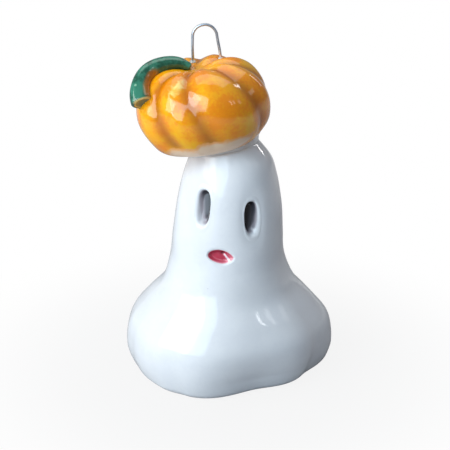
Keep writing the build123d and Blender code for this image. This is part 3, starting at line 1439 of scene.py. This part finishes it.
class RibTree(ShapeTree):
    """Presses uneven grooves into a turned pumpkin and lets it bulge a little."""

    inputs: Names = (
        "Groove Depth", "Half Width", "Softness", "Lead", "Twist", "Lump", "Lump Scale"
    )
    crown_span: Span = (1.2, 7.5)
    foot_span: Span = (-0.5, 4.0)
    lump_span: Span = (0.0, 4.0)
    sharpness: float = 1.7

    def __init__(self, grooves: tuple[float, ...], material: Material) -> None:
        """Write the tree, whose lengths are metres.

        Args:
            grooves: Angles of the grooves, in degrees.
            material: The pumpkin's finish.
        """
        super().__init__("Pumpkin Ribs", self.inputs)
        graph, given = self.graph, self.given
        x, y, z = graph.parts(self.place)
        lead = graph.math("SUBTRACT", graph.math("MULTIPLY", z, given["Twist"]), given["Lead"])
        feeds = {"Angle": graph.math("ADD", graph.math("ARCTAN2", y, x), lead)}
        feeds |= {name: graph.math("RADIANS", given[name]) for name in ("Half Width", "Softness")}
        group = self.dip()
        dip = 0.0
        for groove in grooves:
            one = graph.group(group, feeds | {"Groove": math.radians(groove)})["Dip"]
            dip = graph.math("MAXIMUM", dip, one)
        crown = self.eased(graph.hypot(x, y), self.crown_span)
        taper = graph.math("MULTIPLY", crown, self.eased(z, self.foot_span))
        dip = graph.math("MULTIPLY", dip, taper)
        bulge = self.lumps(given["Lump Scale"], given["Lump"])
        bulge = graph.math("MULTIPLY", bulge, self.eased(z, self.lump_span))
        push = graph.math("SUBTRACT", bulge, graph.math("MULTIPLY", dip, given["Groove Depth"]))
        feeds = {"Geometry": given["Geometry"], "Name": Mark.GROOVE.value, "Value": dip}
        kept = graph.node("GeometryNodeStoreNamedAttribute", feeds).outputs[0]
        self.close(self.pushed(kept, push), material)

    def eased(self, value: NodeSocket, span: Span) -> NodeSocket:
        """Ease a length over a span that is given in millimetres."""
        return self.graph.ease(value, span[0] * MM, span[1] * MM)

    @classmethod
    def dip(cls) -> NodeTree:
        """Write the group that says how deep one groove is at an angle.

        Returns:
            The group. Its result goes from 0 to 1.
        """
        inputs = dict.fromkeys(("Angle", "Groove", "Half Width", "Softness"), "Float")
        begun = Graph.begin(TreeKind.GEOMETRY, "Groove Dip", inputs, {"Dip": "Float"})
        graph, given, sink = begun
        gap = graph.math("SUBTRACT", given["Angle"], given["Groove"])
        gap = graph.hypot(graph.math("WRAP", gap, math.pi, -math.pi), given["Softness"])
        share = graph.math("SUBTRACT", 1.0, graph.math("DIVIDE", gap, given["Half Width"]))
        share = graph.math("MAXIMUM", share, 0.0)
        graph.feed(sink["Dip"], graph.math("POWER", share, cls.sharpness))
        return graph.tree


@dataclass(frozen=True)
class Pumpkin:
    """Ribbed pumpkin that sits askew on the collar.

    A pale spot has its angle, its height, half its width in degrees and half its height.
    """

    base: LocalFrame
    seat_offset: float
    finish: OrangeGlaze
    radius: float = 19.3
    rib_centre: float = 7.9
    centre: float = 9.9
    rise: float = 12.0
    shoulder: float = 112.0
    dimple: float = 20.3
    dimple_run: float = 1.0
    shoulder_run: float = 0.1
    grooves: tuple[float, ...] = (3.0, 50.0, 95.0, 139.0, 185.0, 230.0, 266.0, 323.0)
    groove_depth: float = 1.25
    groove_width: float = 25.0
    groove_softness: float = 2.2
    lead: float = 15.0
    twist: float = 1.14
    lump: float = 0.55
    lump_scale: float = 90.0
    creep_reach: Span = (16.8, 21.3)
    creep_front: Span = (7.0, 14.0)
    creep_height: Span = (1.8, 6.2)
    pale_spots: tuple[tuple[float, float, float, float], ...] = (
        (248.0, 19.6, 14.0, 1.9),
        (219.0, 14.5, 6.0, 2.2),
    )
    flat_rings: int = 12
    side_rings: int = 96
    bowl_rings: int = 22
    columns: int = 400

    def meridian(self) -> Array:
        """Draw half a section, from the middle of the underside to the dimple.

        Returns:
            Radius and height of each point.
        """
        half = self.radius - self.rib_centre
        low = -math.asin(self.centre / self.rise)
        turn = np.linspace(low, math.radians(self.shoulder), self.side_rings)
        across = self.rib_centre + half * np.cos(turn)
        side = np.stack([across, self.centre + self.rise * np.sin(turn)], axis=-1)
        flat = np.linspace(0.15, 0.985, self.flat_rings)[:, None] * np.array([[side[0, 0], 0.0]])
        slope = np.array([-half * math.sin(turn[-1]), self.rise * math.cos(turn[-1])])
        start, first = side[-1], side[-1] + slope * self.shoulder_run
        second, last = np.array([[self.dimple_run, self.dimple], [0.0, self.dimple]])
        share = np.linspace(0.06, 0.985, self.bowl_rings)[:, None]
        rest = 1.0 - share
        bowl = start * rest**3 + first * 3 * rest**2 * share
        bowl = bowl + second * 3 * rest * share**2 + last * share**3
        return np.concatenate([flat, side, bowl])

    def blank(self) -> Mesh:
        """Turn the form without ribs, upright on its own axis.

        Returns:
            The closed mesh.
        """
        section, turn = self.meridian(), full_turn(self.columns)
        rings = np.array([ring(turn, radius, height) for radius, height in section])
        poles = np.array([[0.0, 0.0, 0.0], [0.0, 0.0, section[-1, 1]]])
        points = np.concatenate([rings.reshape(-1, 3), poles])
        below, above = len(points) - 2, len(points) - 1
        faces = ring_quads(len(section), self.columns, closed=False)
        faces += flipped(fan(below, 0, self.columns))
        faces += fan(above, (len(section) - 1) * self.columns, self.columns)
        return Piece.mesh("pumpkin_blank", points, faces)

    def mark(self, mesh: Mesh) -> None:
        """Mark where the white glaze creeps up and where the orange is paler.

        Args:
            mesh: The ribbed pumpkin, upright on its own axis.
        """
        local = np.empty(len(mesh.vertices) * 3, np.float32)
        mesh.vertices.foreach_get("co", local)
        x, y, z = local.reshape(-1, 3).T / MM
        away = np.hypot(x - self.seat_offset, y)
        near = 1.0 - smooth_step(*self.creep_reach, away)
        front = smooth_step(*self.creep_front, -y)
        Piece.mark(mesh, Mark.CREEP, near * front * (1.0 - smooth_step(*self.creep_height, z)))
        angle = np.degrees(np.arctan2(y, x)) % 360.0
        # Paler yellow at the listed spots.
        thin = np.zeros_like(z)
        for spot, height, wide, high in self.pale_spots:
            thin += np.exp(-(((angle - spot) / wide) ** 2) - ((z - height) / high) ** 2)
        Piece.mark(mesh, Mark.THIN, thin)

    def build(self) -> Object:
        """Make the pumpkin.

        Returns:
            The finished piece.
        """
        material = self.finish.make()
        values = {
            "Groove Depth": self.groove_depth * MM,
            "Half Width": self.groove_width,
            "Softness": self.groove_softness,
            "Lead": math.radians(self.lead),
            "Twist": math.radians(self.twist) / MM,
            "Lump": self.lump * MM,
            "Lump Scale": self.lump_scale,
        }
        mesh = RibTree(self.grooves, material).run(self.blank(), values, "pumpkin_ribs")
        self.mark(mesh)
        mesh.transform(self.base.matrix())
        return Piece.finish("pumpkin_ribs", mesh, material, Node.PUMPKIN, Slot.ORANGE)


@dataclass(frozen=True)
class Stem:
    """Tapered roll of clay that bends over one rib and ends in a blunt cut that faces forward.

    A row of the end has its inset, its push ahead, and how much of the rim and the face it shows.
    A lump has its count, its turn along the arc and its weight.
    """

    base: LocalFrame
    finish: GreenGlaze
    root: Place = (-1.6, 0.0, 21.2)
    crest: Place = (-9.6, -0.3, 23.0)
    tip: Place = (-15.5, -9.6, 16.2)
    radii: tuple[float, ...] = (0.9, 1.9, 2.4, 2.65, 2.8)
    radii_at: tuple[float, ...] = (0.0, 0.15, 0.4, 0.75, 1.0)
    end: tuple[tuple[float, float, float, float], ...] = (
        (0.10, 0.28, 0.3, 0.0),
        (0.35, 0.52, 0.5, 0.0),
        (0.62, 0.60, 0.5, 0.0),
        (0.85, 0.50, 0.2, 0.6),
    )
    face_shares: tuple[float, ...] = (0.5, 0.25, 0.02)
    face_push: Span = (0.32, 0.2)
    rim_span: Span = (-0.3, 0.5)
    # The inner flank faces this way, towards the pumpkin; its brown is partly painted shade and
    # reflection.
    flank: Place = (0.90, -0.40, -0.15)
    flank_span: Span = (0.25, 0.90)
    flank_along: Span = (0.35, 0.60)
    lumps: tuple[Wave, ...] = ((3, 7.0, 0.05), (2, -11.0, 0.04))
    rings: int = 90
    columns: int = 72

    def arc(self) -> tuple[Array, Array, Array, float, float]:
        """Find the arc through root, crest and tip.

        Returns:
            Its middle, two axes across it, its radius and the angle that it sweeps.
        """
        start, crest, end = self.base.to_world(np.array([self.root, self.crest, self.tip]))
        u, v = crest - start, end - start
        w = np.cross(u, v)
        middle = start + (np.cross(w, u) * (v @ v) + np.cross(v, w) * (u @ u)) / (2.0 * (w @ w))
        bow = float(np.linalg.norm(start - middle))
        first = (start - middle) / bow
        second = np.cross(w / np.linalg.norm(w), first)
        sweep = math.atan2((end - middle) @ second, (end - middle) @ first) % (2.0 * math.pi)
        return middle, first, second, bow, sweep

    def rows(self) -> list[tuple[float, float, float, float, float]]:
        """List the rings from the root to the middle of the cut face.

        Returns:
            Share of the arc, radius, push ahead, rim and face of each ring.
        """
        along = np.linspace(0.0, 1.0, self.rings)
        radius = smooth_curve(along, np.array(self.radii_at), np.array(self.radii))
        size = radius[-1]
        rows = [(share, wide, 0.0, 0.0, 0.0) for share, wide in zip(along, radius)]
        rows += [(1.0, size - inset, push, rim, face) for inset, push, rim, face in self.end]
        push, more = self.face_push
        rows += [(1.0, size * part, push + more * part, 0.0, 1.0) for part in self.face_shares]
        return rows

    def build(self) -> Object:
        """Make the stem, with its inner flank (thin glaze and painted shade) and its cut end marked
        for the glaze.

        Returns:
            The finished piece.
        """
        middle, first, second, bow, sweep = self.arc()
        side = np.cross(first, second)
        turn = full_turn(self.columns)
        facing = np.array(self.flank) / np.linalg.norm(self.flank)
        rings, flank, cut = [], [], []
        for share, size, push, rim, face in self.rows():
            up = first * math.cos(sweep * share) + second * math.sin(sweep * share)
            ahead = second * math.cos(sweep * share) - first * math.sin(sweep * share)
            lumps = [(count, along * share, weight) for count, along, weight in self.lumps]
            lump = 1.0 + waves(turn, lumps)
            across = np.cos(turn)[:, None] * up + np.sin(turn)[:, None] * side
            rings.append(middle + up * bow + ahead * push + across * (size * lump)[:, None])
            late = smooth_step(*self.flank_along, share)
            # Mask of the inner flank that faces the pumpkin: thin glaze with painted shade and
            # reflection.
            flank.append(smooth_step(*self.flank_span, across @ facing) * late)
            cut.append(rim * smooth_step(*self.rim_span, across[:, 2]) + face)
        last = (len(rings) - 1) * self.columns
        caps = [tuple(range(last, last + self.columns))]
        faces = flipped(ring_quads(len(rings), self.columns, closed=False) + caps)
        faces.append(tuple(range(self.columns)))
        mesh = Piece.mesh("stem_roll", np.array(rings), faces)
        Piece.mark(mesh, Mark.FLANK, np.array(flank) * (1.0 - np.array(cut)))
        Piece.mark(mesh, Mark.CUT, np.array(cut))
        return Piece.finish("stem_roll", mesh, self.finish.make(), Node.STEM, Slot.GREEN)


# The hanger


class WireTree(ShapeTree):
    """Draws a wire along a path, a little bent by hand."""

    inputs: Names = ("Wire Radius", "Wobble", "Step")
    wobble_scale: float = 210.0
    sides: int = 20

    def __init__(self, material: Material) -> None:
        """Write the tree, whose lengths are metres.

        Args:
            material: The wire's finish.
        """
        super().__init__("Wire Along Path", self.inputs)
        graph, given = self.graph, self.given
        feeds = {"Curve": given["Geometry"], "Length": given["Step"]}
        even = graph.node("GeometryNodeResampleCurve", feeds, mode="LENGTH").outputs[0]
        feeds = {"Vector": self.place, "Scale": self.wobble_scale, "Detail": 0.0}
        noise = graph.node("ShaderNodeTexNoise", feeds).outputs["Color"]
        feeds = {0: noise, 1: (0.5, 0.5, 0.5)}
        shake = graph.node("ShaderNodeVectorMath", feeds, operation="SUBTRACT").outputs[0]
        bent = self.moved(even, graph.scaled(shake, given["Wobble"]))
        feeds = {"Resolution": self.sides, "Radius": given["Wire Radius"]}
        outline = graph.node("GeometryNodeCurvePrimitiveCircle", feeds).outputs[0]
        feeds = {"Curve": bent, "Profile Curve": outline, "Fill Caps": True}
        self.close(graph.node("GeometryNodeCurveToMesh", feeds).outputs[0], material)


class BeadTree(ShapeTree):
    """Sets a lumpy bead of glaze on each point."""

    inputs: Names = ("Bead Radius", "Squat", "Lump")
    lump_scale: float = 700.0
    fineness: int = 5

    def __init__(self, material: Material) -> None:
        """Write the tree, whose lengths are metres.

        Args:
            material: The beads' finish.
        """
        super().__init__("Beads On Points", self.inputs)
        graph, given = self.graph, self.given
        feeds = {"Radius": given["Bead Radius"], "Subdivisions": self.fineness}
        ball = graph.node("GeometryNodeMeshIcoSphere", feeds).outputs[0]
        squat = graph.node("ShaderNodeCombineXYZ", {0: 1.0, 1: 1.0, 2: given["Squat"]}).outputs[0]
        feeds = {"Points": given["Geometry"], "Instance": ball, "Scale": squat}
        placed = graph.node("GeometryNodeInstanceOnPoints", feeds).outputs[0]
        real = graph.node("GeometryNodeRealizeInstances", {"Geometry": placed}).outputs[0]
        self.close(self.pushed(real, self.lumps(self.lump_scale, given["Lump"])), material)


@dataclass(frozen=True)
class Hanger:
    """Loop of kiln wire with a bead of glaze where each leg goes into the clay."""

    wire_finish: Finish
    bead_finish: Finish
    wire_radius: float = 0.4
    wire_step: float = 0.35
    loop_radius: float = 3.4
    leg: float = 13.6
    splay: float = 10.0
    foot_bend: float = 1.2
    foot_turn: float = 1.35
    foot: float = 1.0
    wobble: float = 0.30
    bead_radius: float = 0.85
    bead_squat: float = 0.75
    bead_lump: float = 0.5
    bend_points: int = 7
    arch_points: int = 25

    def arch_centre(self) -> Array:
        """Find the middle of the arch from the hanging mount at its inside top.

        Returns:
            The place, in millimetres.
        """
        mount = next(m for m in frame["record"]["mounts"] if m["name"] == "hanging_loop")
        top = np.array(mount["pos_m"]) / MM
        return top - np.array([0.0, 0.0, self.loop_radius - self.wire_radius])

    def leg_ends(self) -> tuple[tuple[Array, Array], ...]:
        """Find where the legs start.

        Returns:
            Top of each leg, and the way it runs down.
        """
        splay, middle = math.radians(self.splay), self.arch_centre()
        left = middle - np.array([self.loop_radius, 0.0, 0.0])
        right = middle + self.loop_radius * np.array([math.cos(splay), 0.0, math.sin(splay)])
        slant = np.array([math.sin(splay), 0.0, -math.cos(splay)])
        return (left, np.array([0.0, 0.0, -1.0])), (right, slant)

    def heel(self, top: Array, way: Array, side: float) -> Array:
        """Bend the foot of a leg.

        Args:
            top: Top of the leg.
            way: The way it runs down.
            side: -1 for a foot that turns left, 1 for one that turns right.

        Returns:
            Places along the bend and the foot.
        """
        end = top + way * (self.leg - self.foot_bend)
        level = np.array([side, 0.0, 0.0])
        turn = np.linspace(0.0, self.foot_turn, self.bend_points)[:, None]
        bend = end + self.foot_bend * (way * np.sin(turn) + level * (1.0 - np.cos(turn)))
        return np.concatenate([bend, bend[-1:] + level * self.foot])

    def path(self) -> Array:
        """Lead the wire from one buried foot over the arch to the other.

        Returns:
            Places along it, in millimetres.
        """
        (left, down), (right, slant) = self.leg_ends()
        turn = np.linspace(math.pi, math.radians(self.splay), self.arch_points)
        round_arch = np.stack([np.cos(turn), 0.0 * turn, np.sin(turn)], axis=-1)
        arch = self.arch_centre() + self.loop_radius * round_arch
        first, last = self.heel(left, down, -1.0), self.heel(right, slant, 1.0)
        return np.concatenate([first[::-1], arch, last])

    def build(self, pumpkin: Object) -> None:
        """Make the wire and its beads.

        Args:
            pumpkin: The finished pumpkin, which the beads sit on.
        """
        curve = bpy.data.curves.new("hanger_path", "CURVE")
        curve.dimensions = "3D"
        line = curve.splines.new("POLY")
        places = self.path() * MM
        line.points.add(len(places) - 1)
        for point, place in zip(line.points, places):
            point.co = (*place, 1.0)
        metal = self.wire_finish.make()
        values = {"Wire Radius": self.wire_radius, "Wobble": self.wobble, "Step": self.wire_step}
        values = {name: value * MM for name, value in values.items()}
        mesh = WireTree(metal).run(curve, values, "hanger_loop")
        Piece.finish("hanger_loop", mesh, metal, Node.WIRE, Slot.WIRE)
        tree = BVHTree.FromObject(pumpkin, bpy.context.evaluated_depsgraph_get())
        spots = [tree.ray_cast(Vector(top * MM), Vector(way))[0] for top, way in self.leg_ends()]
        points = bpy.data.meshes.new("bead_points")
        points.from_pydata([tuple(spot) for spot in spots], [], [])
        pale = self.bead_finish.make()
        values = {"Bead Radius": self.bead_radius * MM, "Lump": self.bead_lump * MM}
        mesh = BeadTree(pale).run(points, values | {"Squat": self.bead_squat}, "wire_beads")
        Piece.finish("wire_beads", mesh, pale, Node.BEADS, Slot.BEAD)


# The studio


@dataclass(frozen=True)
class Lamp:
    """A soft rectangular lamp, in metres and watts."""

    name: str
    place: Place
    size: tuple[float, float]
    power: float
    colour: Colour = (0.97, 0.98, 1.0)

    def build(self, aim: Vector) -> None:
        """Put the lamp into the scene.

        Args:
            aim: Place that it points at.
        """
        light = bpy.data.lights.new(self.name, "AREA")
        light.shape = "RECTANGLE"
        light.size, light.size_y = self.size
        light.energy = self.power
        light.color = self.colour
        lamp = bpy.data.objects.new(self.name, light)
        lamp.location = self.place
        lamp.rotation_euler = (aim - Vector(self.place)).to_track_quat("-Z", "Y").to_euler()
        bpy.context.scene.collection.objects.link(lamp)


@dataclass(frozen=True)
class Studio:
    """White floor, soft window light from the left and the camera of the photograph, in metres.

    The background is white for the camera and through glass. Reflections see part of it, so that
    the glaze keeps the room's dim side, and the floor keeps its shadow near the ghost.
    """

    camera_place: Place = (-0.0015, -0.3161, 0.1762)
    camera_aim: Place = (-0.0015, -0.0020, 0.0461)
    lens: float = 94.0
    sensor: float = 36.0
    nearest: float = 0.01
    lamp_aim: Place = (0.0, 0.0, 0.045)
    lamps: tuple[Lamp, ...] = (
        Lamp("window_left", (-0.62, -0.30, 0.40), (0.62, 0.60), 4.3, (1.0, 0.945, 0.89)),
        Lamp("window_front", (-0.36, -0.52, 0.40), (0.56, 0.60), 3.6, (0.68, 0.87, 1.0)),
        Lamp("window_right", (0.55, -0.42, 0.50), (0.022, 0.16), 0.09),
        Lamp("pane_right", (0.60, -0.30, 0.46), (0.07, 0.13), 0.06),
        Lamp("pane_far", (0.70, -0.06, 0.42), (0.13, 0.13), 0.06),
        Lamp("strip_back", (0.42, 0.36, 0.34), (0.05, 0.30), 0.40, (1.0, 0.98, 0.96)),
        Lamp("skylight", (0.02, 0.24, 0.66), (0.70, 0.50), 1.4, (1.0, 0.97, 0.93)),
    )
    white: Colour = (1.0, 1.0, 1.0)
    floor_radius: float = 4.0
    floor_corners: int = 96
    floor_colour: Colour = (0.37, 0.37, 0.38)
    floor_roughness: float = 0.9
    shadow_reach: Span = (0.03, 0.10)
    shadow_white: float = 0.88
    shine_start: Span = (0.10, 0.30)
    shine_fade: Span = (0.25, 1.1)
    shine_near: float = 0.48
    shine_far: float = 0.13
    room_left: Colour = (0.19, 0.225, 0.265)
    room_right: Wash = Wash((0.07, 0.048, 0.048), -0.9, 0.75)
    room_top: Wash = Wash((0.16, 0.19, 0.225), 0.1, 0.9)
    room_shine: float = 0.15

    @staticmethod
    def seen(graph: Graph, plain: Any, glossy: Any) -> NodeSocket:
        """Say how much white each ray sees.

        Args:
            graph: Node tree of the floor or the room.
            plain: Share for the camera and through glass.
            glossy: Share in reflections.

        Returns:
            The share for the ray.
        """
        rays = graph.node("ShaderNodeLightPath").outputs
        clear = graph.math("MAXIMUM", rays["Is Camera Ray"], rays["Is Transmission Ray"])
        clear = graph.math("MULTIPLY", clear, plain)
        return graph.math("MAXIMUM", clear, graph.math("MULTIPLY", rays["Is Glossy Ray"], glossy))

    def floor(self) -> None:
        """Lay a wide white floor that keeps the shadow near the ghost."""
        corners = ring(full_turn(self.floor_corners), self.floor_radius)
        mesh = bpy.data.meshes.new("floor")
        mesh.from_pydata(corners.tolist(), [], [tuple(range(self.floor_corners))])
        floor = bpy.data.objects.new("floor", mesh)
        bpy.context.scene.collection.objects.link(floor)
        material = bpy.data.materials.new("white_floor")
        material.use_nodes = True
        graph = Graph(material.node_tree)
        shader = material.node_tree.nodes["Principled BSDF"]
        shader.inputs["Base Color"].default_value = full(self.floor_colour)
        shader.inputs["Roughness"].default_value = self.floor_roughness
        place = graph.node("ShaderNodeTexCoord").outputs["Object"]
        away = graph.node("ShaderNodeVectorMath", {0: place}, operation="LENGTH").outputs["Value"]
        plain = graph.ease(away, *self.shadow_reach, start=self.shadow_white)
        dim = graph.ease(away, *self.shine_fade, start=self.shine_near, end=self.shine_far)
        glossy = graph.math("MULTIPLY", graph.ease(away, *self.shine_start), dim)
        white = graph.node("ShaderNodeEmission", {"Color": full(self.white), "Strength": 1.0})
        feeds = {0: self.seen(graph, plain, glossy), 1: shader.outputs[0], 2: white.outputs[0]}
        mixed = graph.node("ShaderNodeMixShader", feeds)
        graph.feed(material.node_tree.nodes["Material Output"].inputs["Surface"], mixed.outputs[0])
        mesh.materials.append(material)

    def room(self) -> None:
        """Light the room: pale and cool to the left, dim and warm to the right."""
        world = bpy.data.worlds.new("room")
        bpy.context.scene.world = world
        world.use_nodes = True
        graph = Graph(world.node_tree)
        x, _, z = graph.parts(graph.node("ShaderNodeTexCoord").outputs["Generated"])
        colour = self.room_right.over(graph, full(self.room_left), x)
        colour = self.room_top.over(graph, colour, z)
        colour = graph.blend(self.seen(graph, 1.0, self.room_shine), colour, full(self.white))
        background = world.node_tree.nodes["Background"].inputs
        graph.feed(background["Color"], colour)
        background["Strength"].default_value = 1.0

    def camera(self) -> None:
        """Set the camera at the photograph's angle."""
        data = bpy.data.cameras.new("camera")
        data.lens = self.lens
        data.sensor_width = self.sensor
        data.clip_start = self.nearest
        camera = bpy.data.objects.new("camera", data)
        camera.location = self.camera_place
        way = Vector(self.camera_aim) - Vector(self.camera_place)
        camera.rotation_euler = way.to_track_quat("-Z", "Y").to_euler()
        bpy.context.scene.collection.objects.link(camera)
        bpy.context.scene.camera = camera

    def build(self) -> None:
        """Make the whole studio."""
        self.floor()
        self.room()
        for lamp in self.lamps:
            lamp.build(Vector(self.lamp_aim))
        self.camera()
        bpy.context.scene.view_settings.view_transform = "Standard"


# The whole


@dataclass(frozen=True)
class Stack:
    """How the collar and the pumpkin sit on the slanted top of the head."""

    tilt: float = 8.5
    collar_rise: float = 1.8
    collar_bulge: float = 0.5
    pumpkin_offset: float = -4.2

    def seat(self) -> tuple[LocalFrame, float]:
        """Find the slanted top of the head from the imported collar.

        Returns:
            The frame on the cut and the cut's radius, in millimetres.
        """
        low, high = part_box(Node.COLLAR.value)
        slant = math.radians(self.tilt)
        right = np.array([math.cos(slant), 0.0, math.sin(slant)])
        out = np.array([-math.sin(slant), 0.0, math.cos(slant)])
        middle = np.array((low + high) / 2) / MM
        radius = (high.y - low.y) / MM / 2 - self.collar_bulge
        origin = middle - out * self.collar_rise / 2
        return LocalFrame(origin, right, np.array([0.0, 1.0, 0.0]), out), radius

    def base(self, seat: LocalFrame) -> LocalFrame:
        """Frame under the pumpkin, from the frame on the cut."""
        origin = seat.origin + seat.out * self.collar_rise + seat.right * self.pumpkin_offset
        return LocalFrame(origin, seat.right, seat.up, seat.out)


def main() -> None:
    """Build the ghost and its studio."""
    logging.basicConfig(level=logging.INFO, format="%(name)s %(message)s")
    whites: tuple[Colour, Colour] = ((0.81, 0.835, 0.87), (0.79, 0.815, 0.855))
    oranges: tuple[Colour, Colour] = ((0.95, 0.28, 0.001), (1.0, 0.42, 0.002))
    greens: tuple[Colour, Colour] = ((0.006, 0.085, 0.046), (0.035, 0.22, 0.14))
    white = WhiteGlaze("white_glaze", *whites, dull=0.11, ripple=0.12)
    orange = OrangeGlaze("orange_glaze", *oranges, grain_scale=1300.0, dull=0.13, ior=1.65)
    green = GreenGlaze("green_glaze", *greens, cloud_scale=300.0, ior=1.7)
    black = PooledGlaze("eye_glaze", *whites, ripple=0.12)
    red = PooledGlaze(
        "mouth_glaze",
        *whites,
        ripple=0.12,
        edge=Wash((0.72, 0.20, 0.27), 0.0, 0.30),
        middle=Wash((0.50, 0.040, 0.080), 0.25, 0.62),
        deep=Wash((0.13, 0.004, 0.016), 0.60, 1.0),
    )
    slip = Finish("slip", (0.79, 0.81, 0.83), (0.74, 0.73, 0.72), cloud_scale=220.0)
    pale = Finish("bead_glaze", (0.74, 0.74, 0.70), (0.58, 0.60, 0.58), cloud_scale=500.0)
    wire = Finish(
        "kiln_wire",
        (0.66, 0.72, 0.80),
        (0.44, 0.50, 0.58),
        cloud_scale=110.0,
        grain_scale=260.0,
        gloss=0.30,
        dull=0.42,
        ripple_scale=200.0,
        ripple=0.0,
        ior=1.5,
        metal=1.0,
    )
    stack = Stack()
    seat, seat_radius = stack.seat()
    base = stack.base(seat)
    form = GhostForm()
    ghost = Ghost(form, white, seat)
    ghost.build()
    FaceGlaze(form, black, red).build(ghost.sockets())
    SlipCollar(seat, seat_radius, stack.collar_rise, slip).build()
    pumpkin = Pumpkin(base, -stack.pumpkin_offset, orange).build()
    Stem(base, green).build()
    Hanger(wire, pale).build(pumpkin)
    Studio().build()


if __name__ == "__main__":
    main()
